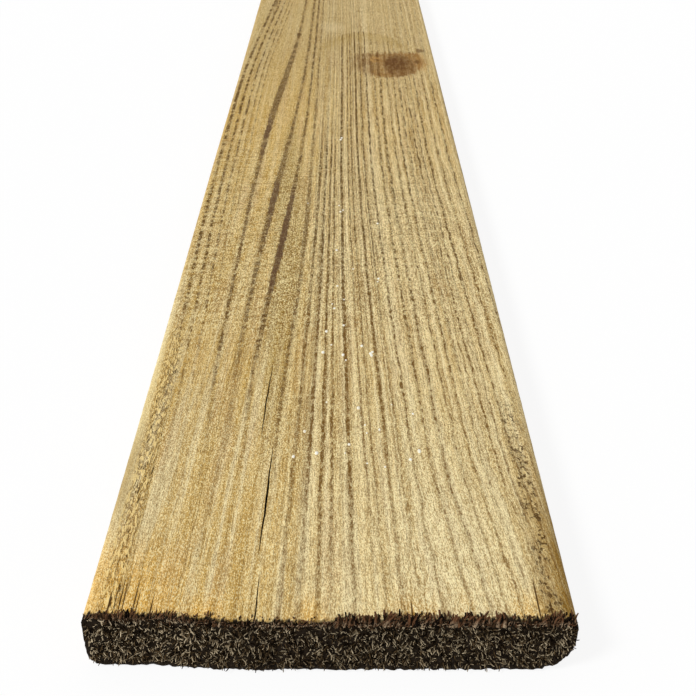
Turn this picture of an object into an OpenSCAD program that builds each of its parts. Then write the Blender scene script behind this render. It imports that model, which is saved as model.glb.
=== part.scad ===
// Treated softwood board: one sawn piece with four eased arrises, and a seasoning check
// that opens the upper face beside one sawn end.
// The board lies flat: width along X, length along Y, thickness along Z.
// The origin is at the middle of the underside.

/* [Board] */
// Length of the board, from sawn end to sawn end
board_length = 1800; // [600:10:4800]
// Width of the board, from edge to edge
board_width = 150; // [75:1:225]
// Thickness of the board
board_thickness = 22; // [20:0.5:50]

/* [Eased arrises] */
// Radius of the two upper arrises
upper_arris_radius = 4; // [1:0.5:6]
// Radius of the lower left arris
lower_left_arris_radius = 5; // [1:0.5:9]
// Radius of the lower right arris, which has some wane
lower_right_arris_radius = 13; // [1:0.5:14]

/* [Seasoning check] */
// Distance of the check from the middle of the board, towards the left edge
check_offset = 22; // [0:0.5:30]
// Widest opening of the check at the upper face
check_opening = 0.8; // [0.4:0.1:2]
// Deepest point of the check below the upper face
check_depth = 6; // [2:0.5:10]
// Length of the short run that breaks out through the sawn end
end_run_length = 21; // [5:1:40]
// Length of the middle run, which is the widest
middle_run_length = 55; // [20:1:120]
// Length of the inner run, which sits a little to the left
inner_run_length = 53; // [20:1:120]
// Sound wood between one run and the next
run_gap = 6; // [2:1:20]
// Sideways step from the middle run to the inner run
run_step = 4; // [0:0.5:8]

/* [Hidden] */

$fn = 96;
// Cutters pass this far beyond the faces that they break through
overshoot = 1;

near_end = -board_length / 2;
right_edge = board_width / 2;
left_edge = -right_edge;

// Where each run of the check starts, measured from the near sawn end
middle_run_start = end_run_length + run_gap;
inner_run_start = middle_run_start + middle_run_length + run_gap;

// The waste outside one eased arris, for a corner at the origin with its wood in +X and +Y
module arris_waste(radius) {
    difference() {
        translate([-overshoot, -overshoot])
            square(radius + overshoot);
        translate([radius, radius])
            circle(radius);
    }
}

// Cross-section of the board: X across the width, Y up through the thickness
module eased_section() {
    difference() {
        translate([left_edge, 0])
            square([board_width, board_thickness]);
        translate([left_edge, 0])
            arris_waste(lower_left_arris_radius);
        translate([right_edge, 0])
            mirror([1, 0])
                arris_waste(lower_right_arris_radius);
        translate([left_edge, board_thickness])
            mirror([0, 1])
                arris_waste(upper_arris_radius);
        translate([right_edge, board_thickness])
            mirror([0, 1])
                mirror([1, 0])
                    arris_waste(upper_arris_radius);
    }
}

// A split that starts at the origin and runs along +Y, opening upwards.
// It is widest and deepest at its middle, and closes to nothing at both ends.
module closed_split(length, opening, depth) {
    rise = overshoot;
    flare = opening / 2 * (1 + rise / depth);
    polyhedron(
        points = [
            [0, 0, rise],
            [flare, length / 2, rise],
            [0, length, rise],
            [-flare, length / 2, rise],
            [0, length / 2, -depth]
        ],
        faces = [
            [0, 3, 2, 1],
            [0, 1, 4],
            [1, 2, 4],
            [2, 3, 4],
            [3, 0, 4]
        ]
    );
}

// The check: three runs in line with the grain, the first broken out through the sawn end
module seasoning_check() {
    // A run that breaks out is half of a split whose middle lies in the end face
    translate([0, -end_run_length, 0])
        closed_split(2 * end_run_length, check_opening, check_depth);
    translate([0, middle_run_start, 0])
        closed_split(middle_run_length, check_opening, check_depth);
    translate([-run_step, inner_run_start, 0])
        closed_split(inner_run_length, check_opening, check_depth);
}

module plank() {
    color("burlywood")
        difference() {
            rotate([90, 0, 0])
                linear_extrude(height = board_length, center = true)
                    eased_section();
            translate([-check_offset, near_end, board_thickness])
                seasoning_check();
        }
}

plank();
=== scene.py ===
import math

import bpy
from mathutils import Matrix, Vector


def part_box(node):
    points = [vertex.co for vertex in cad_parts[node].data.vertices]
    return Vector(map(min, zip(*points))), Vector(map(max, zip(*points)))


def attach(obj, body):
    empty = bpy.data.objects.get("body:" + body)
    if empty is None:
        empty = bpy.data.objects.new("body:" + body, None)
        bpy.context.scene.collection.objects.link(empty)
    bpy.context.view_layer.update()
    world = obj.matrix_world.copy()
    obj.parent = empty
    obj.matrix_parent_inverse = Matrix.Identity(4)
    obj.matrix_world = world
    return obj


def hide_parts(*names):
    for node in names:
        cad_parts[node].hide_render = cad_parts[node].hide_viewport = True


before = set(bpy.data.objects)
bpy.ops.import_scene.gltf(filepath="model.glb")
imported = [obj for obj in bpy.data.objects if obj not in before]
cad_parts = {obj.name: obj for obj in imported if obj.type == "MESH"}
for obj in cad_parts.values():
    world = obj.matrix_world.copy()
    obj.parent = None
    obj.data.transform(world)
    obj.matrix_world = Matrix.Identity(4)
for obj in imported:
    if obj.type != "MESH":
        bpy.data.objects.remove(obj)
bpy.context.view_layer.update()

# The board is one length of softwood, sawn to a stock section with its arrises eased in the mill.
# Pressure treatment has turned the yellow wood a greenish tan, and the late wood of each year's
# growth ring shows as a brown line. Drying has opened a check in the upper face by one end.
MM = 0.001
board_low, board_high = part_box("plank")
board_width = board_high.x - board_low.x
board_length = board_high.y - board_low.y
board_thickness = board_high.z - board_low.z
length_mm = board_length / MM
thickness_mm = board_thickness / MM
upper_arris = 4 * MM
lower_left_arris = 5 * MM
lower_right_arris = 13 * MM


class Field:
    """A number or colour that changes over the wood: one node's output, to be worked on further."""

    def __init__(self, socket):
        self.socket = socket

    def math(self, operation, *others):
        node = self.socket.id_data.nodes.new("ShaderNodeMath")
        node.operation = operation
        for socket, value in zip(node.inputs, (self, *others)):
            feed(socket, value)
        return Field(node.outputs[0])

    def __add__(self, other):
        return self.math("ADD", other)

    def __sub__(self, other):
        return self.math("SUBTRACT", other)

    def __rsub__(self, other):
        return self.math("MULTIPLY_ADD", -1.0, other)

    def __mul__(self, other):
        return self.math("MULTIPLY", other)

    def __truediv__(self, other):
        return self.math("DIVIDE", other)

    def size(self):
        return self.math("ABSOLUTE")

    def least(self, other):
        return self.math("MINIMUM", other)

    def most(self, other):
        return self.math("MAXIMUM", other)

    def ramp(self, start, end):
        """A soft step: 0 at start and 1 at end, whichever of the two is larger."""
        feeds = {"Value": self, "From Min": start, "From Max": end}
        tree = self.socket.id_data
        node = new_node(tree, "ShaderNodeMapRange", feeds, interpolation_type="SMOOTHSTEP")
        return Field(node.outputs[0])


def feed(socket, value):
    """Links a field to a socket, or sets a plain value on it."""
    if isinstance(value, Field):
        socket.id_data.links.new(value.socket, socket)
    else:
        socket.default_value = value


def new_node(tree, kind, feeds=None, **settings):
    """A node of a tree with its settings made and its inputs fed."""
    node = tree.nodes.new(kind)
    for name, value in settings.items():
        setattr(node, name, value)
    for name, value in (feeds or {}).items():
        feed(node.inputs[name], value)
    return node


def vector(x, y, z, tree):
    """Three numbers or fields as one vector."""
    return Field(new_node(tree, "ShaderNodeCombineXYZ", {"X": x, "Y": y, "Z": z}).outputs[0])


class Place:
    """Where a point of the board is, in millimetres: across from its middle, along from its near
    sawn end, and up from its underside."""

    def __init__(self, across, along, up):
        self.across, self.along, self.up = across, along, up
        self.tree = across.socket.id_data
        self.vector = vector(across, along, up, self.tree)

    def noise(self, sizes, detail=1.0, seed=0.0, roughness=0.5):
        """Smooth noise from 0 to 1, in patches of about these sizes across, along and up."""
        feeds = {0: self.vector, 1: [1 / size for size in sizes], 2: (seed, seed, seed)}
        scaled = new_node(self.tree, "ShaderNodeVectorMath", feeds, operation="MULTIPLY_ADD")
        feeds = {"Vector": Field(scaled.outputs[0]), "Scale": 1.0}
        feeds |= {"Detail": detail, "Roughness": roughness}
        return Field(new_node(self.tree, "ShaderNodeTexNoise", feeds).outputs[0])

    def oval(self, across, along, half_width, half_length, ragged=0.0):
        """Distance from the middle of an oval on the face: 1 on its outline."""
        aside = (self.across - across) / half_width
        ahead = (self.along - along) / half_length
        return (aside * aside + ahead * ahead).math("SQRT") + ragged


def place_of(position):
    """The place of a position in the part's own frame."""
    tree = position.socket.id_data
    feeds = {0: position, 1: (1 / MM,) * 3, 2: (0.0, -board_low.y / MM, 0.0)}
    moved = new_node(tree, "ShaderNodeVectorMath", feeds, operation="MULTIPLY_ADD")
    parts = new_node(tree, "ShaderNodeSeparateXYZ", {0: Field(moved.outputs[0])})
    return Place(*(Field(part) for part in parts.outputs))


# Growth rings lean through the thickness, so each face shows them a little aside. Towards the near
# end they fan out from a middle line, and further in they run straight.
ring_lean = 0.6
ring_pitch = 3.9
uneven_years = 7.0
fading_run = 50.0
fan_middle = -3.0
fan_ease = 26.0
fan_spread = 15.0
fan_start = 420.0
fan_end = -120.0
right_fan = 6.0
# The lines that end each year's growth: where each lies across the upper face once it
# runs straight, half its width, and how dark it is. The edge lines are those beside the left arris.
line_halo = 1.3
year_lines = [
    (-9.6, 1.1, 0.7), (-6.2, 0.9, 0.75), (-3.4, 0.7, 0.8), (-1.2, 0.7, 0.6), (2.6, 1.0, 0.8),
    (6.6, 0.6, 0.55), (8.7, 0.6, 0.6), (12.6, 0.9, 0.8), (16.3, 0.7, 0.65), (20.5, 0.8, 0.75),
    (26.4, 0.8, 0.65), (30.8, 0.8, 0.75), (36.0, 0.7, 0.6), (40.3, 0.8, 0.75), (44.3, 0.7, 0.6),
    (46.6, 0.5, 0.5), (49.1, 0.7, 0.75), (52.2, 0.6, 0.55), (55.7, 0.8, 0.8), (61.8, 0.7, 0.65),
    (67.7, 0.7, 0.65), (75.0, 0.8, 0.6), (81.0, 0.8, 0.6),
]
edge_lines = [
    (-54.5, 0.6, 0.45), (-57.7, 0.6, 0.5), (-61.8, 0.9, 0.8), (-66.4, 1.1, 1.0), (-71.2, 1.3, 1.0),
]
# Bold bands of late wood, one beside the other. Each turns across the board by its swing, over its
# ease, and is widest over its bulge; it fades in and out at from and to, over twice the start and stop.
band_start = 70.0
band_stop = 100.0
band_fan = 5.0
band_halo = 2.2
bands = [
    {"middle": -39.5, "swing": 9.0, "turn": 520, "ease": 150, "half": 0.75, "dark": 0.9,
     "bulge": 1.5, "bulge_at": 490, "bulge_reach": 130, "from": 110, "to": 1150},
    {"middle": -32.6, "swing": 9.5, "turn": 350, "ease": 190, "half": 0.95, "dark": 0.9,
     "bulge": 0.8, "bulge_at": 315, "bulge_reach": 72, "from": 130, "to": 1300},
    {"middle": -28.1, "swing": 9.0, "turn": 240, "ease": 170, "half": 0.75, "dark": 1.0,
     "bulge": 0.8, "bulge_at": 258, "bulge_reach": 92, "from": 110, "to": 900},
    {"middle": -21.3, "swing": 6.3, "turn": 110, "ease": 110, "half": 0.7, "dark": 0.7,
     "bulge": 0.5, "bulge_at": 280, "bulge_reach": 70, "from": 70, "to": 1000},
    {"middle": -50.0, "swing": 12.0, "turn": 960, "ease": 230, "half": 0.9, "dark": 0.9,
     "bulge": 0.9, "bulge_at": 980, "bulge_reach": 200, "from": 720, "to": 1750},
    {"middle": -60.0, "swing": 15.0, "turn": 1370, "ease": 260, "half": 0.9, "dark": 0.95,
     "bulge": 1.0, "bulge_at": 1380, "bulge_reach": 200, "from": 1050, "to": 1900},
]


class Rings:
    """The growth rings at a place, each part from 0 to 1: the soft late wood that darkens towards a
    year's end, the sharp lines and the bold bands that end it, and the pale early wood that follows.
    Grain is the measure across the rings."""

    def __init__(self, place):
        self.place = place
        along = place.along
        wander = (place.noise((500.0, 320.0, 60.0), 1.0, 3.1) - 0.5) * along.ramp(600.0, 1100.0) * 12.0
        waver = (place.noise((6.0, 40.0, 6.0), 2.0, 5.7) - 0.5) * 1.1
        self.ragged = place.noise((0.9, 3.4, 0.9), 3.0, 2.9, 0.7) - 0.5
        across = place.across + (thickness_mm - place.up) * ring_lean + waver
        fanned = ((across - fan_middle) / fan_ease).math("TANH") * along.ramp(fan_start, fan_end)
        fanned = fanned * fan_spread + across.ramp(20.0, 50.0) * along.ramp(90.0, -20.0) * right_fan
        shiver = (place.noise((5.0, 11.0, 5.0), 2.0, 6.3) - 0.5) * (across.ramp(12.0, 30.0) * 1.9 + 0.3)
        self.grain = across + wander - fanned + shiver

        # The planer's knives leave low ripples across the board, which break the lines into dashes.
        on_right = across.ramp(-17.0, -10.0)
        in_middle = across.ramp(28.0, 14.0) * on_right
        near_dash = place.noise((16.0, 2.8, 16.0), 1.0, 8.3).ramp(0.38, 0.56)
        far_dash = place.noise((5.0, 7.0, 5.0), 1.0, 8.9).ramp(0.38, 0.58)
        ripple = near_dash + (far_dash - near_dash) * along.ramp(260.0, 420.0)
        dash_depth = (0.85 - in_middle * 0.45) * (along.ramp(40.0, 150.0) * 0.65 + 0.35)
        dashed = 1.0 - (1.0 - ripple) * dash_depth
        blotch = place.noise((1.3, 3.0, 1.3), 2.0, 9.7, 0.6).ramp(0.36, 0.6)
        fade = Place(self.grain, along, place.up).noise((2.6, 60.0, 9.0), 1.0, 14.0).ramp(0.3, 0.62)

        # Lines are weak by the near end. Those of the middle die out further in, and so do those of the
        # right side where they reach the knot.
        by_near_end = along.ramp(0.0, 140.0) * 0.5 + 0.45
        dying = (self.grain + 5.0).size().ramp(7.5, 5.5) * along.ramp(330.0, 470.0) * 0.75
        dying = dying.most(self.grain.ramp(20.0, 30.0) * along.ramp(480.0, 545.0) * 0.5)
        above_knot = place.oval(20.0, 560.0, 40.0, 86.0).ramp(0.99, 1.07) * along.ramp(600.0, 630.0)
        dying = dying.most(above_knot * across.ramp(-4.0, 2.0) * across.ramp(50.0, 44.0) * 0.8)
        by_near_end = (by_near_end + in_middle * along.ramp(30.0, 90.0) * 0.25).least(1.0)
        unbroken = fade * 0.5 + along.ramp(280.0, 380.0) * 0.2 + 0.7
        strength = by_near_end * (1.0 - dying) * dashed * unbroken
        sharp, soft = self.lines_at(self.grain, year_lines)

        # The lines beside the left arris turn on their own, and end where the first bold band runs.
        left_turn = along.ramp(360.0, 0.0) * 7.0 + along.ramp(480.0, 880.0) * 14.0
        left_grain = across - left_turn
        left_edge = ((along - 520.0) / 150.0).math("TANH") * 9.0 - 44.0
        on_left = (across - left_edge).ramp(0.0, -3.0)
        left_share = along.ramp(60.0, 240.0) * 0.55 + along.ramp(340.0, 560.0) * 0.4 + 0.2
        left_strength = on_left * left_share * dashed
        left_sharp, left_soft = self.lines_at(left_grain, edge_lines)
        late, faint, pale = self.years(self.grain + (left_grain + 100.0 - self.grain) * on_left, 11.0)

        left_near = (1.0 - on_right) * along.ramp(300.0, 140.0)
        shown = (on_right * by_near_end + on_left * 0.4).least(1.0).most(left_near * 0.55)
        self.late = soft * by_near_end * (1.0 - dying) + left_soft * left_strength
        self.late = self.late + late * (shown * 0.35 + left_near * 0.3)
        self.late = self.late.least(1.0)
        self.lines = (sharp * strength).most(left_sharp * left_strength) * (blotch * 0.95 + 0.5)
        self.lines = self.lines.most(faint * shown * dashed * 0.45).least(1.0)
        self.pale = pale * shown

        self.bands = None
        for band in bands:
            turned = ((along - band["turn"]) / band["ease"]).math("TANH")
            middle = turned * band["swing"] + band["middle"] + along.ramp(150.0, 0.0) * band_fan
            off_bulge = (along - band["bulge_at"]) / band["bulge_reach"]
            bulge = (off_bulge * off_bulge * -1.0).math("EXPONENT")
            outside = (across - middle).size() + self.ragged * 3.4 - bulge * band["bulge"]
            present = along.ramp(band["from"] - band_start, band["from"] + band_start)
            present = present * along.ramp(band["to"] + band_stop, band["to"] - band_stop)
            shade = outside.ramp(band["half"] * 1.35, band["half"] * 0.55) * band["dark"] * present
            shade = shade * (ripple * 0.65 + 0.35).most(bulge * 0.9)
            halo = outside.ramp(band["half"] + band_halo, band["half"]) * present
            self.late = self.late.most(halo * 0.8)
            self.bands = shade if self.bands is None else self.bands.most(shade)

    def lines_at(self, measure, lines):
        """Lines at given places of a ring measure: sharp cores, and the soft shade beside them."""
        measure = measure + self.ragged * 1.1
        slimmer = self.place.along.ramp(340.0, 90.0) * 0.4 + 1.0
        sharp = soft = None
        for middle, half, dark in lines:
            aside = (measure - middle).size() * slimmer
            core = aside.ramp(half, half * 0.35) * dark
            shade = aside.ramp(half + line_halo, half * 0.4) * dark
            sharp = core if sharp is None else sharp.most(core)
            soft = shade if soft is None else soft.most(shade)
        return sharp, soft

    def years(self, ring, seed):
        """The soft late wood, the sharp line and the pale early wood of even years along a measure."""
        tree = self.place.tree
        feeds = {"W": ring / uneven_years + seed, "Detail": 0.0, "Scale": 1.0}
        squeeze = new_node(tree, "ShaderNodeTexNoise", feeds, noise_dimensions="1D")
        count = ring / ring_pitch + Field(squeeze.outputs[0]) * 1.4 + self.ragged * 0.4
        year = count.math("FLOOR")
        aside = count.math("FRACT")
        tone = new_node(tree, "ShaderNodeTexWhiteNoise", {"W": year + seed}, noise_dimensions="1D")
        tone = Field(tone.outputs[0])
        fading = vector(year * 3.7 + seed, self.place.along / fading_run, 0.0, tree)
        fade = new_node(tree, "ShaderNodeTexNoise", {"Vector": fading, "Scale": 1.0, "Detail": 1.0})
        fade = Field(fade.outputs[0]).ramp(0.35, 0.6)
        at_end = aside.ramp(1.0, 0.95)
        late = aside.ramp(0.2, 0.85) * at_end * (tone * 0.6 + 0.4)
        line = aside.ramp(0.7, 0.84) * at_end * (tone * 0.9 + 0.3) * (fade * 0.9 + 0.1)
        return late, line, aside.ramp(0.35, 0.05)


# The saw has cut the near end a little askew, so that its left third lies further in.
skew_start = -25.0
skew_end = -62.0
skew_depth = 2.2


def near_recess(across):
    """How far in the near end lies at a place across, as a field."""
    return across.ramp(skew_start, skew_end) * skew_depth


def torn_arrises(place):
    """Where the left and the right arris are torn by the near end, each from 0 to 1."""
    across, along = place.across, place.along
    left = across.ramp(-63.0, -65.0) * across.ramp(-72.0, -69.5) * along.ramp(200.0, 140.0)
    right = across.ramp(63.5, 66.5) * across.ramp(72.5, 70.0) * along.ramp(140.0, 90.0)
    return left, right


def new_tree(name, inputs):
    """An empty Geometry Nodes tree with these named inputs and one geometry output."""
    tree = bpy.data.node_groups.new(name, "GeometryNodeTree")
    for label, kind in inputs.items():
        tree.interface.new_socket(label, in_out="INPUT", socket_type="NodeSocket" + kind)
    tree.interface.new_socket("Geometry", in_out="OUTPUT", socket_type="NodeSocketGeometry")
    return tree


def made_by(tree, name, values, start=None):
    """A piece with the plain mesh that a tree makes of the start mesh and these input values."""
    piece = bpy.data.objects.new(name, start or bpy.data.meshes.new(name))
    bpy.context.scene.collection.objects.link(piece)
    modifier = piece.modifiers.new("maker", "NODES")
    modifier.node_group = tree
    for item in tree.interface.items_tree:
        if item.in_out == "INPUT" and item.name in values:
            modifier[item.identifier] = values[item.name]
    depsgraph = bpy.context.evaluated_depsgraph_get()
    mesh = bpy.data.meshes.new_from_object(
        piece.evaluated_get(depsgraph), preserve_all_data_layers=True, depsgraph=depsgraph
    )
    piece.modifiers.clear()
    piece.data = mesh
    mesh.name = name
    return piece


def check_cutter():
    """Three thin wedges, pointed at both ends, in the places of the check's three runs."""
    check_depth = 6.0
    overshoot = 1.0
    stations = 14
    least_share = 0.04
    # Each run: from and to along the board, its places across there, and its opening.
    runs = [
        (-21.0, 21.0, -22.4, -22.2, 0.55),
        (26.0, 86.0, -23.0, -21.6, 0.8),
        (88.0, 141.0, -26.7, -25.2, 0.6),
    ]
    points = []
    faces = []
    widen = (check_depth + overshoot) / check_depth
    for start, end, start_aside, end_aside, opening in runs:
        first = len(points)
        for station in range(stations + 1):
            share = station / stations
            open_share = max((1 - abs(2 * share - 1)) ** 0.5, least_share)
            along = start + (end - start) * share
            aside = start_aside + (end_aside - start_aside) * share
            centre = aside + 0.12 * math.sin(along / 6.5) + 0.08 * math.sin(along / 2.3)
            half = opening / 2 * widen * open_share
            deep = check_depth * open_share
            wedge = ((centre - half, overshoot), (centre + half, overshoot), (centre, -deep))
            for across, up in wedge:
                points.append((across * MM, board_low.y + along * MM, board_high.z + up * MM))
        for station in range(stations):
            a = first + station * 3
            for side in range(3):
                b = (side + 1) % 3
                faces.append((a + side, a + b, a + 3 + b, a + 3 + side))
        last = first + stations * 3
        faces.append((first + 2, first + 1, first))
        faces.append((last, last + 1, last + 2))
    mesh = bpy.data.meshes.new("check_cutter")
    mesh.from_pydata(points, [], faces)
    cutter = bpy.data.objects.new("check_cutter", mesh)
    bpy.context.scene.collection.objects.link(cutter)
    return cutter


board_tree = new_tree("sawn_board", {
    "Width": "Float", "Length": "Float", "Thickness": "Float",
    "Upper arris": "Float", "Lower left arris": "Float", "Lower right arris": "Float",
    "Points across": "Int", "Points along": "Int", "Points up": "Int",
    "Check": "Object", "Finish": "Material",
})
given = {socket.name: Field(socket) for socket in board_tree.nodes.new("NodeGroupInput").outputs}
block = new_node(board_tree, "GeometryNodeMeshCube", {
    "Size": vector(given["Width"], given["Length"], given["Thickness"], board_tree),
    "Vertices X": given["Points across"], "Vertices Y": given["Points along"],
    "Vertices Z": given["Points up"],
})
position = Field(board_tree.nodes.new("GeometryNodeInputPosition").outputs[0])
normal = Field(board_tree.nodes.new("GeometryNodeInputNormal").outputs[0])
x, y, z = (Field(part) for part in new_node(board_tree, "ShaderNodeSeparateXYZ", {0: position}).outputs)
# Rows of points stand closer at the near end, where the wood is torn, than at the far one.
near_row_share = 0.25
share = y / given["Length"] + 0.5
row = (share * share * (1 - near_row_share) + share * near_row_share - 0.5) * given["Length"]
# Each corner of the section is pulled in to its own arris.
is_right = x.math("GREATER_THAN", 0.0)
is_upper = z.math("GREATER_THAN", 0.0)
lower = given["Lower left arris"] + (given["Lower right arris"] - given["Lower left arris"]) * is_right
radius = lower + (given["Upper arris"] - lower) * is_upper
side_limit = given["Width"] * 0.5 - radius
face_limit = given["Thickness"] * 0.5 - radius
core_x = x.least(side_limit).most(side_limit * -1.0)
core_z = z.least(face_limit).most(face_limit * -1.0)
out_x = x - core_x
out_z = z - core_z
reach = out_x.size().most(out_z.size()) / (out_x * out_x + out_z * out_z).math("SQRT")
level = core_z + out_z * reach + given["Thickness"] * 0.5
eased = vector(core_x + out_x * reach, row, level, board_tree)
feeds = {"Geometry": Field(block.outputs[0]), "Position": eased}
shaped = new_node(board_tree, "GeometryNodeSetPosition", feeds)
# The saw leaves ripples, late wood stands proud of early wood, and the arrises and ends are torn.
place = place_of(position)
rings = Rings(place)
torn_left, torn_right = torn_arrises(place)
ripple = place.noise((30.0, 5.0, 30.0), 0.0, 1.7) - 0.5
unevenness = place.noise((60.0, 220.0, 60.0), 0.0, 6.1) - 0.5
tear = place.noise((1.6, 5.0, 1.6), 2.0, 9.2)
pits = place.noise((1.5, 2.6, 1.5), 1.0, 4.4).ramp(0.52, 0.66)
line_height = 0.10
band_height = 0.12
ripple_height = 0.16
warp_height = 0.5
tear_height = 1.3
pit_depth = 0.9
height = rings.lines * line_height + rings.bands * band_height
height = height + ripple * ripple_height + unevenness * warp_height
height = height + (tear - 0.6) * torn_left * tear_height - pits * torn_right * pit_depth
end_margin = 0.01
on_near_end = place.along.math("LESS_THAN", end_margin)
on_far_end = place.along.math("GREATER_THAN", length_mm - end_margin)
height = height * (1.0 - on_near_end) * (1.0 - on_far_end)
feeds = {0: normal, "Scale": height * MM}
raised = new_node(board_tree, "ShaderNodeVectorMath", feeds, operation="SCALE")
broken = place.noise((1.3, 1.0, 1.3), 2.0, 7.7).ramp(0.25, 0.75)
break_depth = 0.9
break_proud = 0.15
sunk = (on_near_end - on_far_end) * (broken * break_depth - break_proud) * MM
skew_reach = 24.0
slid = near_recess(place.across) * (1.0 - place.along / skew_reach).most(0.0) * MM
feeds = {0: Field(raised.outputs[0]), 1: vector(0.0, sunk + slid, 0.0, board_tree)}
worn = new_node(board_tree, "ShaderNodeVectorMath", feeds, operation="ADD")
feeds = {"Geometry": Field(shaped.outputs[0]), "Offset": Field(worn.outputs[0])}
rough = new_node(board_tree, "GeometryNodeSetPosition", feeds)
wedges = new_node(board_tree, "GeometryNodeObjectInfo", {"Object": given["Check"]})
split = new_node(board_tree, "GeometryNodeMeshBoolean", solver="MANIFOLD", operation="DIFFERENCE")
feed(split.inputs["Mesh 1"], Field(rough.outputs[0]))
feed(split.inputs["Mesh 2"], Field(wedges.outputs["Geometry"]))
smooth = new_node(board_tree, "GeometryNodeSetShadeSmooth", {"Geometry": Field(split.outputs[0])})
angle = Field(board_tree.nodes.new("GeometryNodeInputMeshEdgeAngle").outputs[0])
crease_angle = 0.8
creases = {
    "Geometry": Field(smooth.outputs[0]), "Selection": angle.math("GREATER_THAN", crease_angle),
    "Shade Smooth": False,
}
creased = new_node(board_tree, "GeometryNodeSetShadeSmooth", creases, domain="EDGE")
realized = new_node(board_tree, "GeometryNodeRealizeInstances", {"Geometry": Field(creased.outputs[0])})
finished = {"Geometry": Field(realized.outputs[0]), "Material": given["Finish"]}
painted = new_node(board_tree, "GeometryNodeSetMaterial", finished)
feed(board_tree.nodes.new("NodeGroupOutput").inputs["Geometry"], Field(painted.outputs[0]))


def colour(red, green, blue):
    """A colour given from 0 to 255, as a screen shows it, in the numbers that a shader takes."""
    return [((c / 255 + 0.055) / 1.055) ** 2.4 for c in (red, green, blue)] + [1.0]


def tint(base, other, share):
    """The base colour with a share of another one mixed in."""
    feeds = {0: share, 6: base, 7: other}
    node = new_node(share.socket.id_data, "ShaderNodeMix", feeds, data_type="RGBA")
    return Field(node.outputs[2])


early_wood = colour(253, 223, 156)
inner_wood = colour(230, 196, 124)
warm_wood = colour(208, 165, 76)
rosy_wood = colour(206, 166, 112)
pale_cream_wood = colour(254, 236, 186)
amber_wood = colour(246, 192, 92)
far_wood = colour(176, 152, 102)
ochre_wood = colour(172, 140, 64)
soft_late = colour(166, 130, 64)
late_wood = colour(92, 62, 8)
near_late_wood = colour(114, 80, 26)
dark_band = colour(92, 62, 18)
purple_band = colour(94, 66, 44)
grain_brown = colour(116, 80, 16)
pale_grain = colour(255, 242, 188)
knot_heart = colour(96, 58, 0)
knot_halo = colour(146, 100, 36)
knot_rim = colour(190, 142, 72)
flake_cream_and_highlight = colour(248, 218, 146)
olive_stain_and_shade = colour(156, 118, 40)
crack_shadow_brown = colour(116, 80, 24)
pit_brown = colour(80, 52, 10)
# Dark brown of the stained sawn ends, used also as painted shade inside the check.
stain_and_shade_brown = colour(30, 20, 7)


# Streaks of the knot, beside its heart: where each is across, half its width, and how dark it is.
knot_streaks = [
    (11.0, 1.0, 0.6), (15.2, 1.0, 0.6), (19.0, 1.2, 0.9), (24.8, 1.4, 0.7), (30.0, 1.1, 0.85),
    (35.4, 0.9, 0.5), (40.2, 1.0, 0.6),
]
# Hairline splits that run in from the near end: where each is across, and from where to where.
split_half = 0.35
end_splits = [(63.4, -6.0, 20.0), (67.2, -6.0, 10.0), (42.5, -4.0, 6.0), (25.0, -3.0, 9.0)]


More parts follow.
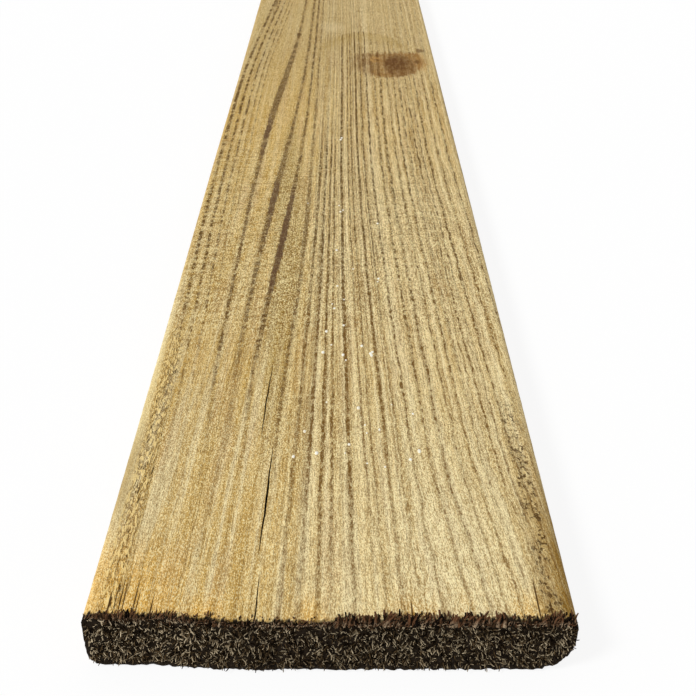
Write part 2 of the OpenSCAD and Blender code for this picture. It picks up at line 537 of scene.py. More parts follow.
def softwood_finish():
    """Treated softwood: tan early wood with brown ring lines, dark bands, a knot and stains. Places
    and sizes are in millimetres, and each ramp is where a colour starts and where it is full."""
    material = bpy.data.materials.new("treated_softwood")
    material.use_nodes = True
    tree = material.node_tree
    place = place_of(Field(tree.nodes.new("ShaderNodeTexCoord").outputs["Object"]))
    rings = Rings(place)
    torn_left, torn_right = torn_arrises(place)
    across, along = place.across, place.along
    grain = Place(rings.grain, along, place.up)

    patches = place.noise((26.0, 180.0, 26.0), 2.0, 12.0).ramp(0.3, 0.7)
    stripes = grain.noise((3.0, 170.0, 6.0), 3.0, 17.0, 0.65).ramp(0.36, 0.64)
    blush = grain.noise((7.0, 70.0, 7.0), 2.0, 19.0).ramp(0.5, 0.68)
    streaks = grain.noise((0.36, 7.0, 2.0), 1.0, 21.45, 0.6).ramp(0.3, 0.7)
    threads = grain.noise((0.5, 34.0, 2.0), 1.0, 23.45, 0.6).ramp(0.34, 0.66)
    fine_grit = place.noise((0.28, 0.7, 2.0), 0.0, 33.45).ramp(0.22, 0.78)
    coarse_grit = place.noise((0.36, 1.0, 2.0), 0.0, 37.45).ramp(0.22, 0.78)
    specks = place.noise((0.4, 1.0, 2.0), 1.0, 41.45, 0.6).ramp(0.36, 0.24)
    grit = fine_grit + (coarse_grit - fine_grit) * along.ramp(80.0, 200.0)
    dots = place.noise((0.7, 1.6, 0.7), 1.0, 51.0).ramp(0.35, 0.6)
    ticks = place.noise((6.0, 2.0, 6.0), 2.0, 57.0).ramp(0.34, 0.66)

    wood = tint(early_wood, inner_wood, (along.ramp(180.0, 480.0) * 0.65 + patches * 0.35).least(1.0))
    warm = across.ramp(0.0, -35.0) * (along.ramp(60.0, 400.0) * 0.6 + patches * 0.4).least(1.0)
    wood = tint(wood, warm_wood, warm * 0.9)
    plain_left = across.ramp(-12.0, -32.0) * along.ramp(330.0, 180.0)
    wood = tint(wood, warm_wood, plain_left * 0.4)
    wood = tint(wood, warm_wood, stripes.ramp(0.5, 0.0) * 0.6)
    wood = tint(wood, pale_cream_wood, stripes.ramp(0.55, 1.0) * (along.ramp(260.0, 30.0) * 0.4 + 0.25))
    wood = tint(wood, rosy_wood, blush * 0.4)
    wood = tint(wood, rosy_wood, across.ramp(-20.0, 10.0) * along.ramp(60.0, 240.0) * 0.25)
    wood = tint(wood, far_wood, along.ramp(400.0, 620.0) * 0.5)
    wood = tint(wood, pale_cream_wood, across.ramp(-16.0, -8.0) * along.ramp(500.0, 260.0) * 0.25)
    ochre = place.oval(-23.0, 230.0, 9.0, 170.0).ramp(1.1, 0.5)
    ochre = ochre.most(place.oval(-29.0, 340.0, 6.0, 120.0).ramp(1.1, 0.5))
    wood = tint(wood, ochre_wood, ochre * (patches * 0.3 + 0.5))
    left_stain = place.oval(-72.0, 4.0, 40.0, 44.0).ramp(1.0, 0.2)
    end_stain = along.ramp(16.0, 2.0) * place.noise((11.0, 60.0, 11.0), 1.0, 27.0).ramp(0.42, 0.6)
    wood = tint(wood, amber_wood, left_stain.most(end_stain * 0.8))
    right_stain = across.ramp(61.0, 67.0) * along.ramp(130.0, 40.0)
    right_corner = across.ramp(64.0, 70.0) * along.ramp(60.0, 10.0)
    stain_and_arris_shade = right_corner * 0.3 + right_stain * (patches * 0.3 + 0.36)
    # Painted shade: the outer right arris by the near end is darker still, as it turns from the lamp.
    stain_and_arris_shade = stain_and_arris_shade + across.ramp(70.0, 74.0) * along.ramp(70.0, 20.0) * 0.3
    wood = tint(wood, olive_stain_and_shade, stain_and_arris_shade)
    # Painted light: further in, the outer right arris is lightened against the shade it lies in.
    wood = tint(wood, early_wood, across.ramp(69.0, 73.0) * along.ramp(50.0, 110.0) * 0.65)
    # A paler, speckled patch over the face by the near right.
    pale_near_right = place.oval(38.0, 20.0, 34.0, 100.0).ramp(1.0, 0.1)
    wood = tint(wood, pale_cream_wood, (pale_near_right * (grit * 0.7 + streaks * 0.5)).least(0.95))
    wood = tint(wood, soft_late, rings.late * (along.ramp(30.0, 120.0) * 0.1 + 0.5))
    wood = tint(wood, pale_cream_wood, rings.pale * 0.35)

    # Fine fibres and pores stipple the planed face, darker and lighter than the wood between them.
    stipple = along.ramp(40.0, 130.0) * 0.2 + 0.2
    stipple = stipple * along.ramp(420.0, 240.0) + 0.25
    threaded = (across.ramp(-22.0, -12.0) * 0.6 + 0.4) * (along.ramp(30.0, 160.0) * 0.5 + 0.5)
    threaded = threaded * (along.ramp(600.0, 420.0) * 0.6 + 0.4)
    wood = tint(wood, grain_brown, grit.ramp(0.5, 0.0) * (stipple + ochre * 0.3))
    wood = tint(wood, grain_brown, streaks.ramp(0.45, 0.0) * 0.35)
    wood = tint(wood, grain_brown, threads.ramp(0.45, 0.0) * threaded * 0.36)
    wood = tint(wood, pale_grain, threads.ramp(0.6, 1.0) * threaded * 0.22)
    wood = tint(wood, grain_brown, specks * 0.4)
    in_ripples = across.ramp(-10.0, -30.0) * along.ramp(120.0, 220.0) * along.ramp(460.0, 340.0)
    in_ripples = (in_ripples * 0.7).most(place.oval(39.0, 285.0, 24.0, 70.0).ramp(1.1, 0.3) * 0.6)
    wood = tint(wood, grain_brown, ticks.ramp(0.4, 0.0) * (in_ripples * 0.35 + 0.08))
    wood = tint(wood, pale_grain, ticks.ramp(0.6, 1.0) * in_ripples * 0.25)
    pale_share = streaks * 0.3 + 0.15 + stipple * 0.6 - right_stain * 0.4
    wood = tint(wood, pale_grain, grit.ramp(0.5, 1.0) * pale_share)
    line_brown = tint(near_late_wood, late_wood, along.ramp(90.0, 280.0))
    wood = tint(wood, line_brown, (rings.lines * (dots * 0.4 + 0.8) * (grit * -0.5 + 1.3)).least(0.96))
    purple = place.oval(-28.0, 262.0, 9.0, 70.0).ramp(1.0, 0.8)
    purple = purple.most(place.oval(-35.0, 308.0, 5.0, 30.0).ramp(1.0, 0.6))
    purple = purple.most(place.oval(-46.5, 405.0, 5.0, 45.0).ramp(1.0, 0.6))
    wood = tint(wood, dark_band, rings.bands * (dots * 0.3 + grit * -0.35 + 0.9))
    wood = tint(wood, purple_band, rings.bands * purple * (grit * -0.3 + 0.85))
    band_blob = place.oval(-33.6, 641.0, 2.2, 7.0, rings.ragged).ramp(1.2, 0.5)
    wood = tint(wood, dark_band, band_blob * 0.85)

    # The knot is a branch cut across: a dark heart to one side of a brown lens that is flat on top,
    # with the ring lines running on over it, and the wood above it swept into an arch.
    knot_across, knot_along, knot_top = 38.0, 556.0, 587.0
    spikes = place.noise((1.1, 60.0, 2.0), 2.0, 61.45) - 0.5
    speckle = place.noise((2.2, 7.0, 3.0), 2.0, 63.4, 0.6).ramp(0.38, 0.62)
    knot_grain = place.noise((0.9, 16.0, 0.9), 2.0, 65.0, 0.6).ramp(0.36, 0.64)
    to_heart = across.ramp(10.0, 38.0)
    flat_top = (along + spikes * 24.0).ramp(knot_top + 4.0, knot_top - 4.0)
    lens = place.oval(knot_across - 2.0, knot_along + 8.0, 30.0, 40.0, spikes * 0.3)
    lens = lens.ramp(1.12 - to_heart * 0.06, to_heart * 0.4 + 0.52) * flat_top
    heart = place.oval(knot_across + 8.5, knot_along - 2.0, 11.5, 28.0, spikes * 0.4)
    heart = heart.ramp(1.12, 0.88) * lens
    core = place.oval(knot_across + 6.0, knot_along + 4.0, 10.0, 20.0, spikes * 0.6).ramp(1.2, 0.6)
    rim = place.oval(knot_across + 26.0, knot_along + 6.0, 5.0, 26.0, spikes).ramp(1.2, 0.5)
    spots = place.oval(knot_across + 27.0, knot_along + 37.0, 3.4, 6.5, spikes * 1.2).ramp(1.2, 0.5)
    small_spot = place.oval(knot_across + 22.5, knot_along + 7.0, 2.5, 6.0, spikes)
    spots = spots.most(small_spot.ramp(1.2, 0.4))
    arch = place.oval(20.0, 560.0, 40.0, 86.0, spikes * 0.1)
    arch = arch.ramp(0.6, 0.9) * arch.ramp(1.05, 0.97) * along.ramp(585.0, 615.0)
    pale_patch = place.oval(-6.0, 664.0, 13.0, 22.0, spikes * 0.5).ramp(1.1, 0.3)
    wood = tint(wood, ochre_wood, arch * (speckle * 0.2 + 0.2))
    wood = tint(wood, late_wood, arch * rings.lines * 0.25)
    wood = tint(wood, pale_cream_wood, pale_patch * 0.2)
    wood = tint(wood, knot_rim, rim * (speckle * 0.4 + 0.2))
    wood = tint(wood, knot_halo, lens * (to_heart * 0.5 + speckle * -0.3 + 0.35))
    for aside, half, dark in knot_streaks:
        streak = (across - aside + spikes * 1.5).size().ramp(half * 1.3, half * 0.4)
        wood = tint(wood, knot_heart, lens * streak * (speckle * -0.4 + 1.0) * dark)
    wood = tint(wood, knot_heart, (heart * (core * 0.35 + speckle * -0.3 + 0.65)).most(spots * 0.75))
    wood = tint(wood, knot_heart, lens * knot_grain * (to_heart * -0.15 + 0.4))
    light_spots = place.oval(knot_across - 10.0, knot_along + 14.0, 5.0, 10.0, spikes).ramp(1.1, 0.5)
    wood = tint(wood, knot_rim, light_spots * speckle * 0.7)

    # Pits by the right arris, in loose clusters, and flakes with thin cracks between them by the left.
    clusters = place.noise((4.0, 11.0, 4.0), 1.0, 69.0).ramp(0.42, 0.52)
    slant = Place(across + along * 0.5, along - across * 0.5, place.up)
    pitted = slant.noise((1.4, 2.0, 1.7), 2.0, 71.5, 0.7).ramp(0.52, 0.62) * clusters * torn_right
    wood = tint(wood, pit_brown, pitted * 0.9)
    # The flakes are partly their own cream and partly painted highlight; the cracks are painted shadow.
    flakes = place.noise((0.9, 3.4, 0.9), 1.0, 77.0, 0.6)
    shadowed_cracks = (flakes - 0.46).size().ramp(0.055, 0.015) * torn_left
    wood = tint(wood, flake_cream_and_highlight, flakes.ramp(0.5, 0.6) * torn_left * 0.8)
    # Painted shade: a greyer patch on the outer left arris by the near end.
    painted_edge_shade = across.ramp(-68.0, -72.0) * along.ramp(35.0, 55.0) * along.ramp(115.0, 80.0)
    wood = tint(wood, far_wood, painted_edge_shade * 0.55)
    # Painted highlight: the outer left arris is paler where it faces the lamp.
    painted_arris_highlight = across.ramp(-70.0, -72.5) * along.ramp(70.0, 100.0) * along.ramp(260.0, 150.0)
    wood = tint(wood, pale_grain, painted_arris_highlight * 0.3)
    wood = tint(wood, crack_shadow_brown, shadowed_cracks * 0.62)
    split_corner = across.ramp(-48.0, -52.0) * across.ramp(-70.0, -67.0) * along.ramp(24.0, 8.0)
    hairlines = place.noise((0.7, 40.0, 0.7), 1.0, 79.0).ramp(0.58, 0.66)
    wood = tint(wood, pit_brown, hairlines * split_corner)
    for aside, start, end in end_splits:
        split = place.oval(aside, (start + end) / 2, split_half, (end - start) / 2).ramp(1.0, 0.6)
        wood = tint(wood, pit_brown, split * 0.95)
    depth = thickness_mm - place.up
    # Painted shade: the walls of the check darken with depth below the upper face.
    shaded_check = across.ramp(-31.0, -29.0) * across.ramp(-15.0, -17.0) * along.ramp(150.0, 145.0)
    wood = tint(wood, stain_and_shade_brown, shaded_check * depth.ramp(0.2, 1.0) * depth.ramp(9.0, 8.0))
    from_end = along - near_recess(across)
    frayed = from_end - place.noise((1.0, 30.0, 30.0), 2.0, 81.0).ramp(0.4, 0.7) * 1.6
    low_fray = across.ramp(-34.0, -30.0) * across.ramp(3.0, -1.0)
    by_end = (frayed + low_fray).ramp(1.3, 0.0).most(from_end.ramp(3.0, 1.6) * depth.ramp(0.5, 1.5))
    by_end = by_end.most(along.ramp(length_mm - 1.5, length_mm - 0.3))
    wood = tint(wood, stain_and_shade_brown, by_end)

    relief = fine_grit * 0.12 + coarse_grit * 0.12 + streaks * 0.12 + ticks * 0.15
    relief = relief + flakes * torn_left * 0.9 - pitted * 0.3
    bump = new_node(tree, "ShaderNodeBump", {"Strength": 1.0, "Distance": MM, "Height": relief})
    shader = tree.nodes["Principled BSDF"]
    feed(shader.inputs["Base Color"], wood)
    feed(shader.inputs["Roughness"], fine_grit * 0.2 + 0.65)
    feed(shader.inputs["Normal"], Field(bump.outputs[0]))
    shader.inputs["Specular IOR Level"].default_value = 0.12
    return material


softwood = softwood_finish()
cutter = check_cutter()
plank = made_by(board_tree, "plank_board", {
    "Width": board_width, "Length": board_length, "Thickness": board_thickness,
    "Upper arris": upper_arris, "Lower left arris": lower_left_arris,
    "Lower right arris": lower_right_arris,
    "Points across": 151, "Points along": 260, "Points up": 23,
    "Check": cutter, "Finish": softwood,
})
bpy.data.objects.remove(cutter)
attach(plank, "root")
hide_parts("plank")

# The sawn ends are a dark mat of torn fibres, left by a blunt saw and stained by dirt and treatment.
# The fibres are the wood's own, each a stiff hair that is bent over, and along the upper edge they
# stand up in tufts. One tree grows them all out of a patch of the surface.
fibre_tree = new_tree("torn_fibres", {
    "Patch": "Geometry", "Lie": "Vector", "Tangle": "Float", "Lock size": "Float",
    "Least roll": "Float", "Most roll": "Float",
    "Length": "Float", "Thickness": "Float", "Flatness": "Float",
    "Fibres per square metre": "Float", "Seed": "Int", "Finish": "Material",
})
given = {socket.name: Field(socket) for socket in fibre_tree.nodes.new("NodeGroupInput").outputs}


def drawn(tree, low, high, kind, seed):
    """A random number or vector for each point, between low and high."""
    node = new_node(tree, "FunctionNodeRandomValue", {"Seed": seed}, data_type=kind)
    limits = [socket for socket in node.inputs if socket.enabled][:2]
    feed(limits[0], low)
    feed(limits[1], high)
    return Field([socket for socket in node.outputs if socket.enabled][0])


def with_vector(operation, first, second):
    """A vector worked on by another one, or by a scale."""
    node = new_node(fibre_tree, "ShaderNodeVectorMath", {0: first}, operation=operation)
    feed(node.inputs["Scale" if operation == "SCALE" else 1], second)
    return Field(node.outputs[0])


# One hair of unit length, bent over to one side and thinning towards its tip.
bow = new_node(fibre_tree, "GeometryNodeCurveQuadraticBezier", {
    "Resolution": 2, "Start": (0.0, 0.0, 0.0), "Middle": (0.0, 0.0, 0.6), "End": (0.28, 0.0, 0.95),
})
tip_thinning = 0.55
tip_share = Field(fibre_tree.nodes.new("GeometryNodeSplineParameter").outputs["Factor"])
marked = {"Geometry": Field(bow.outputs[0]), "Name": "tip", "Value": tip_share}
tipped = new_node(fibre_tree, "GeometryNodeStoreNamedAttribute", marked)
outline = new_node(fibre_tree, "GeometryNodeCurvePrimitiveCircle", {"Resolution": 3, "Radius": 0.5})
hair = new_node(fibre_tree, "GeometryNodeCurveToMesh", {
    "Curve": Field(tipped.outputs[0]), "Profile Curve": Field(outline.outputs[0]), "Fill Caps": True,
    "Scale": given["Thickness"] / given["Length"] * (1.0 - tip_share * tip_thinning),
})
# Locks of neighbouring fibres lie the same way, and each fibre a little its own way.
roots = new_node(fibre_tree, "GeometryNodeDistributePointsOnFaces", {
    "Mesh": given["Patch"], "Density": given["Fibres per square metre"], "Seed": given["Seed"],
})
position = Field(fibre_tree.nodes.new("GeometryNodeInputPosition").outputs[0])
by_lock = with_vector("SCALE", position, given["Lock size"].math("POWER", -1.0))
locks = new_node(fibre_tree, "ShaderNodeTexNoise", {"Vector": by_lock, "Scale": 1.0, "Detail": 1.0})
lock_lie = with_vector("SUBTRACT", Field(locks.outputs["Color"]), (0.5, 0.5, 0.5))
lock_sway = 4.0
own_sway = 0.7
lock_lie = with_vector("SCALE", lock_lie, given["Tangle"] * lock_sway)
own_lie = drawn(fibre_tree, (-1.0,) * 3, (1.0,) * 3, "FLOAT_VECTOR", given["Seed"] + 2.0)
own_lie = with_vector("SCALE", own_lie, given["Tangle"] * own_sway)
lie = with_vector("ADD", given["Lie"], with_vector("ADD", lock_lie, own_lie))
tone = drawn(fibre_tree, 0.0, 1.0, "FLOAT", given["Seed"] + 1.0)
marked = {"Geometry": Field(roots.outputs["Points"]), "Name": "tone", "Value": tone}
toned = new_node(fibre_tree, "GeometryNodeStoreNamedAttribute", marked)
aimed = new_node(fibre_tree, "FunctionNodeAlignRotationToVector", {"Vector": lie}, axis="Z")
own_roll = drawn(fibre_tree, given["Least roll"], given["Most roll"], "FLOAT", given["Seed"] + 3.0)
roll = new_node(fibre_tree, "FunctionNodeAxisAngleToRotation", {"Angle": own_roll})
roll.inputs["Axis"].default_value = (0.0, 0.0, 1.0)
feeds = {"Rotation": Field(aimed.outputs[0]), "Rotate By": Field(roll.outputs[0])}
turned = new_node(fibre_tree, "FunctionNodeRotateRotation", feeds, rotation_space="LOCAL")
shortest = 0.45
longest = 1.25
own_length = given["Length"] * drawn(fibre_tree, shortest, longest, "FLOAT", given["Seed"] + 4.0)
spread = new_node(fibre_tree, "GeometryNodeInstanceOnPoints", {
    "Points": Field(toned.outputs[0]), "Instance": Field(hair.outputs[0]),
    "Rotation": Field(turned.outputs[0]),
    "Scale": vector(own_length * given["Flatness"], own_length, own_length, fibre_tree),
})
grown = new_node(fibre_tree, "GeometryNodeRealizeInstances", {"Geometry": Field(spread.outputs[0])})
finished = {"Geometry": Field(grown.outputs[0]), "Material": given["Finish"]}
painted = new_node(fibre_tree, "GeometryNodeSetMaterial", finished)
feed(fibre_tree.nodes.new("NodeGroupOutput").inputs["Geometry"], Field(painted.outputs[0]))

fibre_black = colour(14, 6, 0)
fibre_brown = colour(114, 92, 62)
fibre_red = colour(104, 66, 44)
fibre_pale = colour(240, 222, 186)


def fibre_finish():
    """Stained fibre ends: brown black with pale hairs, palest at their tips, and a redder upper row."""
    material = bpy.data.materials.new("torn_end_fibre")
    material.use_nodes = True
    tree = material.node_tree
    tone = Field(new_node(tree, "ShaderNodeAttribute", attribute_name="tone").outputs["Fac"])
    tip = Field(new_node(tree, "ShaderNodeAttribute", attribute_name="tip").outputs["Fac"])
    place = place_of(Field(tree.nodes.new("ShaderNodeTexCoord").outputs["Object"]))
    mottle = place.noise((0.45, 0.45, 0.45), 1.0, 15.0).ramp(0.36, 0.64)
    on_left = place.across.ramp(-22.0, -52.0)
    hair = tint(fibre_black, fibre_brown, tone.ramp(0.12, 0.7) * (mottle * 0.5 + on_left * 0.2 + 0.35))
    hair = tint(hair, fibre_red, tone.ramp(0.2, 0.6) * place.up.ramp(18.5, 20.5) * 0.65)
    pale = tone.ramp(0.56, 0.86) * (tip * 0.6 + 0.42) * (mottle * 0.5 + 0.5) * (on_left * 0.3 + 0.7)
    pale = pale * place.up.ramp(22.5, 20.0) * (place.up.ramp(0.0, 9.0) * 0.4 + 0.6)
    hair = tint(hair, fibre_pale, pale)
    shader = tree.nodes["Principled BSDF"]
    feed(shader.inputs["Base Color"], hair)
    feed(shader.inputs["Roughness"], tone * 0.3 + 0.6)
    shader.inputs["Specular IOR Level"].default_value = 0.05
    return material


def corner_drop(x, radius):
    """How far a rounded corner of the section lies in from its face at a place across."""
    over = max(abs(x) - (board_width / 2 - radius), 0.0)
    return radius - math.sqrt(radius * radius - over * over)


def recess_at(x):
    """How far in the near end lies at a place across."""
    share = (x / MM - skew_start) / (skew_end - skew_start)
    share = min(max(share, 0.0), 1.0)
    return share * share * (3 - 2 * share) * skew_depth * MM


def straight(x):
    """No recess: the far end is cut square."""
    return 0.0


def sawn_end_patch(name, end, recess, inset, lower_inset, columns=60):
    """The board's section as one row of faces at a sawn end, drawn in by insets."""
    points = []
    for column in range(columns + 1):
        x = (board_width / 2 - inset) * (2 * column / columns - 1)
        base = lower_inset + corner_drop(x, lower_left_arris if x < 0 else lower_right_arris)
        top = board_thickness - inset - corner_drop(x, upper_arris)
        points += [(x, end + recess(x), base), (x, end + recess(x), top)]
    mesh = bpy.data.meshes.new(name)
    faces = [(2 * n, 2 * n + 2, 2 * n + 3, 2 * n + 1) for n in range(columns)]
    mesh.from_pydata(points, [], faces)
    return mesh


def strip_patch(name, strips):
    """Flat strips by the near end, each given by its limits across and along and its level."""
    points = []
    for left, right, start, end, level in strips:
        corners = ((left, start), (right, start), (right, end), (left, end))
        points += [(a * MM, board_low.y + b * MM, level * MM) for a, b in corners]
    mesh = bpy.data.meshes.new(name)
    mesh.from_pydata(points, [], [range(4 * n, 4 * n + 4) for n in range(len(strips))])
    return mesh


torn_fibre = fibre_finish()
any_roll = {"Least roll": 0.0, "Most roll": math.tau, "Flatness": 1.0, "Finish": torn_fibre}
root_depth = 0.5 * MM
near_root = board_low.y + root_depth
far_root = board_high.y - root_depth
end_inset = 0.8 * MM
end_lower_inset = 1.4 * MM
end_fibres = made_by(fibre_tree, "near_end_fibres", any_roll | {
    "Lie": (0.1, -0.5, 0.25), "Tangle": 0.9, "Lock size": 3.0 * MM, "Length": 1.8 * MM,
    "Thickness": 0.5 * MM, "Fibres per square metre": 3.25e6, "Seed": 5,
}, sawn_end_patch("near_end_patch", near_root, recess_at, end_inset, end_lower_inset))
# Strips along the upper edge that the fringe, the tufts and the spikes stand on: from and to across,
# from and to along, and the level, in millimetres.
fringe_strips = [
    (-74, -62, 1.7, 2.8, 21.3), (-62, -45, 1.2, 2.3, 21.2), (-45, -31, 0.2, 1.3, 21.0),
    (-31, 2, -0.6, 0.2, 20.1), (2, 74, -0.6, 0.2, 20.4),
]
end_fringe = made_by(fibre_tree, "near_end_fringe", any_roll | {
    "Lie": (0.3, -0.2, 1.0), "Tangle": 0.5, "Lock size": 3.0 * MM, "Length": 1.4 * MM,
    "Thickness": 0.4 * MM, "Fibres per square metre": 5.0e6, "Seed": 9,
}, strip_patch("near_fringe_patch", fringe_strips))
tuft_strips = [
    (-74, -35, 1.6, 2.4, 21.2), (-35, 3, -0.4, 0.6, 19.9), (3, 29, -0.4, 1.6, 20.6),
    (29, 74, -0.2, 0.9, 20.8),
]
end_tufts = made_by(fibre_tree, "near_end_tufts", any_roll | {
    "Lie": (0.25, 0.35, 1.0), "Tangle": 0.3, "Lock size": 3.0 * MM, "Length": 2.6 * MM,
    "Thickness": 0.85 * MM, "Fibres per square metre": 1.9e6, "Seed": 14,
}, strip_patch("near_tuft_patch", tuft_strips))
spike_strips = [(2, 50, -0.6, 0.8, 19.8), (50, 73, -0.4, 0.6, 19.6)]
end_spikes = made_by(fibre_tree, "near_end_spikes", any_roll | {
    "Lie": (0.22, 0.25, 1.0), "Tangle": 0.28, "Lock size": 2.5 * MM, "Length": 4.0 * MM,
    "Thickness": 1.15 * MM, "Fibres per square metre": 2.0e6, "Seed": 18,
}, strip_patch("near_spike_patch", spike_strips))
far_fibres = made_by(fibre_tree, "far_end_fibres", any_roll | {
    "Lie": (0.0, 0.5, 0.2), "Tangle": 0.8, "Lock size": 4.0 * MM, "Length": 2.0 * MM,
    "Thickness": 0.45 * MM, "Fibres per square metre": 2.4e6, "Seed": 23,
}, sawn_end_patch("far_end_patch", far_root, straight, end_inset, end_lower_inset))
for piece in (end_fibres, end_fringe, end_tufts, end_spikes, far_fibres):
    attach(piece, "root")

# The left arris is torn by the near end: thin flat splinters of clean wood that are still held at
# one end and have lifted a little at the other. They are the board's own wood and grow out of it.
splinter_strips = [(-70, -64, 8, 165, 21.7)]
left_splinters = made_by(fibre_tree, "left_arris_splinters", {
    "Lie": (0.06, 1.0, 0.02), "Tangle": 0.1, "Lock size": 6.0 * MM, "Length": 4.0 * MM,
    "Least roll": math.radians(60), "Most roll": math.radians(120),
    "Thickness": 0.9 * MM, "Flatness": 0.3,
    "Fibres per square metre": 0.2e6, "Seed": 31, "Finish": softwood,
}, strip_patch("left_splinter_patch", splinter_strips))
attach(left_splinters, "root")

# Small pale beads lie by the ring lines. Each is a flattened drop
# that sits half in the wood, at a given place.
fleck_tree = new_tree("resin_flecks", {
    "Places": "Geometry", "Size": "Float", "Seed": "Int", "Finish": "Material",
})
given = {socket.name: Field(socket) for socket in fleck_tree.nodes.new("NodeGroupInput").outputs}
drop = new_node(fleck_tree, "GeometryNodeMeshIcoSphere", {"Radius": 0.5, "Subdivisions": 2})
rounded = new_node(fleck_tree, "GeometryNodeSetShadeSmooth", {"Geometry": Field(drop.outputs[0])})
points = new_node(fleck_tree, "GeometryNodeMeshToPoints", {"Mesh": given["Places"]})
smallest = 0.5
largest = 1.2
bead_length = 1.5
bead_height = 0.6
size = given["Size"] * drawn(fleck_tree, smallest, largest, "FLOAT", given["Seed"])
beads = new_node(fleck_tree, "GeometryNodeInstanceOnPoints", {
    "Points": Field(points.outputs[0]), "Instance": Field(rounded.outputs[0]),
    "Scale": vector(size, size * bead_length, size * bead_height, fleck_tree),
})
set_out = new_node(fleck_tree, "GeometryNodeRealizeInstances", {"Geometry": Field(beads.outputs[0])})
finished = {"Geometry": Field(set_out.outputs[0]), "Material": given["Finish"]}
glazed = new_node(fleck_tree, "GeometryNodeSetMaterial", finished)
feed(fleck_tree.nodes.new("NodeGroupOutput").inputs["Geometry"], Field(glazed.outputs[0]))


bead_white = colour(252, 250, 240)
bead_yellow = colour(244, 232, 196)


def bead_finish():
    """The beads' finish: milky white, a little yellow in places, and smoother than the wood."""
    material = bpy.data.materials.new("pale_bead")
    material.use_nodes = True
    tree = material.node_tree
    place = place_of(Field(tree.nodes.new("ShaderNodeTexCoord").outputs["Object"]))
    cloudy = place.noise((0.6, 0.6, 0.6), 1.0, 5.0)
    shader = tree.nodes["Principled BSDF"]
    feed(shader.inputs["Base Color"], tint(bead_white, bead_yellow, cloudy.ramp(0.4, 0.7)))
    feed(shader.inputs["Roughness"], cloudy * 0.3 + 0.2)
    return material


# Where the beads are, across and along, in millimetres.
fleck_size = 1.25 * MM
fleck_depth = 0.02 * MM
fleck_places = [
    (15.6, 147.0), (16.4, 148.2), (16.0, 145.6), (12.0, 153.0), (4.0, 146.0), (5.2, 142.0),
    (-1.0, 154.0), (-4.5, 148.0), (-3.3, 165.0), (4.2, 170.0), (0.0, 185.0), (-1.0, 189.0),
    (4.4, 193.0), (1.2, 206.0), (20.4, 210.0), (20.8, 213.0), (30.0, 212.0), (8.8, 223.0),
    (0.6, 243.0), (22.0, 274.0), (2.4, 289.0), (1.6, 297.0), (3.8, 291.0), (2.2, 397.0),
    (2.8, 400.0), (-15.5, 300.0), (10.0, 108.0), (12.4, 97.0), (13.0, 92.0), (17.8, 94.0),
    (23.0, 110.0), (31.0, 104.0), (4.8, 80.0), (6.3, 85.0), (32.0, 81.0), (28.5, 76.0),
    (-14.0, 78.0), (-5.6, 80.0), (-10.4, 93.0), (12.8, 74.0), (19.2, 72.0), (-2.4, 112.0),
]
fleck_level = board_high.z - fleck_depth
fleck_points = [(a * MM, board_low.y + b * MM, fleck_level) for a, b in fleck_places]
fleck_mesh = bpy.data.meshes.new("fleck_places")
fleck_mesh.from_pydata(fleck_points, [], [])
resin_flecks = made_by(fleck_tree, "resin_flecks", {
    "Size": fleck_size, "Seed": 3, "Finish": bead_finish(),
}, fleck_mesh)
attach(resin_flecks, "root")

# The floor is a plain white sheet that the board lies on, and the light is one wide soft lamp from
# the upper left with an even white surround.
floor_mesh = bpy.data.meshes.new("floor")
floor_reach = 8.0
floor_level = -0.6 * MM
corners = [(-1, -1), (1, -1), (1, 1), (-1, 1)]
floor_points = [(floor_reach * a, floor_reach * b, floor_level) for a, b in corners]
floor_mesh.from_pydata(floor_points, [], [(0, 1, 2, 3)])
floor = bpy.data.objects.new("floor", floor_mesh)
bpy.context.scene.collection.objects.link(floor)


def seen_directly(tree):
    """1 on rays from the camera or from a shiny or clear surface, and 0 on rays that carry light."""
    path = tree.nodes.new("ShaderNodeLightPath")
    camera_ray = Field(path.outputs["Is Camera Ray"])
    shiny_ray = Field(path.outputs["Is Glossy Ray"])
    clear_ray = Field(path.outputs["Is Transmission Ray"])
    return camera_ray.most(shiny_ray).most(clear_ray)


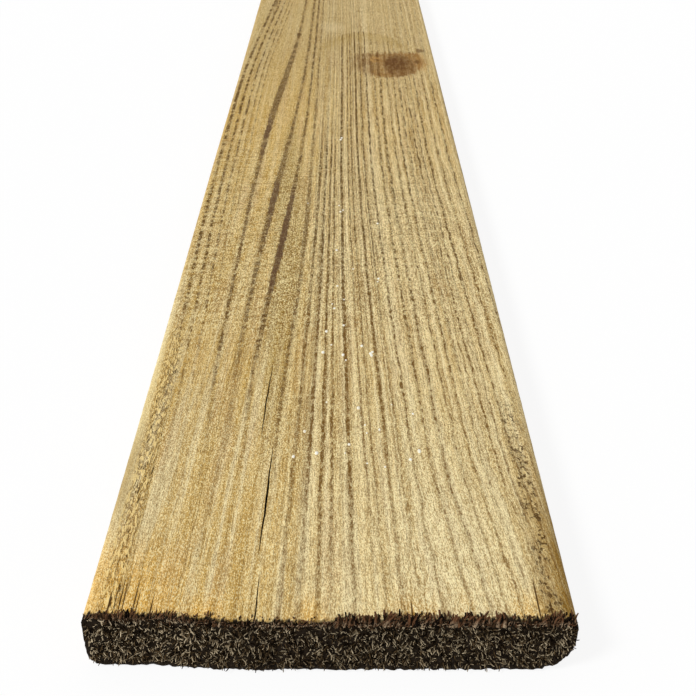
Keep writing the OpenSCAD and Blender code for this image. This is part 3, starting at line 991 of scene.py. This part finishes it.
sheet_white = (0.97, 0.97, 0.97, 1.0)
sheet_lift = 0.88
white_sheet = bpy.data.materials.new("white_sheet")
white_sheet.use_nodes = True
sheet_tree = white_sheet.node_tree
matt_sheet = sheet_tree.nodes["Principled BSDF"]
matt_sheet.inputs["Base Color"].default_value = sheet_white
matt_sheet.inputs["Roughness"].default_value = 0.9
glow = new_node(sheet_tree, "ShaderNodeEmission", {"Strength": 1.0})
lifted = sheet_tree.nodes.new("ShaderNodeMixShader")
feed(lifted.inputs[0], seen_directly(sheet_tree) * sheet_lift)
feed(lifted.inputs[1], Field(matt_sheet.outputs[0]))
feed(lifted.inputs[2], Field(glow.outputs[0]))
feed(sheet_tree.nodes["Material Output"].inputs["Surface"], Field(lifted.outputs[0]))
floor_mesh.materials.append(white_sheet)

surround_light = 0.5
world = bpy.data.worlds.new("white_surround")
bpy.context.scene.world = world
world.use_nodes = True
surround = world.node_tree.nodes["Background"]
surround.inputs["Color"].default_value = (1.0, 1.0, 1.0, 1.0)
surround_strength = seen_directly(world.node_tree) * (1.0 - surround_light) + surround_light
feed(surround.inputs["Strength"], surround_strength)

lamp_strength = 2.04
lamp_spread = 14
lamp_pitch = 20
lamp_lean = -38
lamp = bpy.data.lights.new("soft_lamp", "SUN")
lamp.energy = lamp_strength
lamp.angle = math.radians(lamp_spread)
lamp_holder = bpy.data.objects.new("soft_lamp", lamp)
lamp_holder.rotation_euler = (math.radians(lamp_pitch), math.radians(lamp_lean), 0.0)
bpy.context.scene.collection.objects.link(lamp_holder)

# The camera stands a little behind the near end, above the middle of the board, and looks down along
# it, so that the sawn end is seen whole and the far end is out of sight.
camera_aside = 5.1 * MM
camera_back = 207.7 * MM
camera_height = 250.7 * MM
camera_dip = 32.485
camera_yaw = -0.159
camera_data = bpy.data.cameras.new("camera")
camera_data.sensor_width = 36.0
camera_data.lens = 51.72
camera_data.clip_start = 0.01
camera = bpy.data.objects.new("camera", camera_data)
camera.location = (camera_aside, board_low.y - camera_back, camera_height)
camera.rotation_euler = (math.radians(90 - camera_dip), 0.0, math.radians(camera_yaw))
bpy.context.scene.collection.objects.link(camera)
bpy.context.scene.camera = camera
bpy.context.scene.view_settings.view_transform = "Standard"
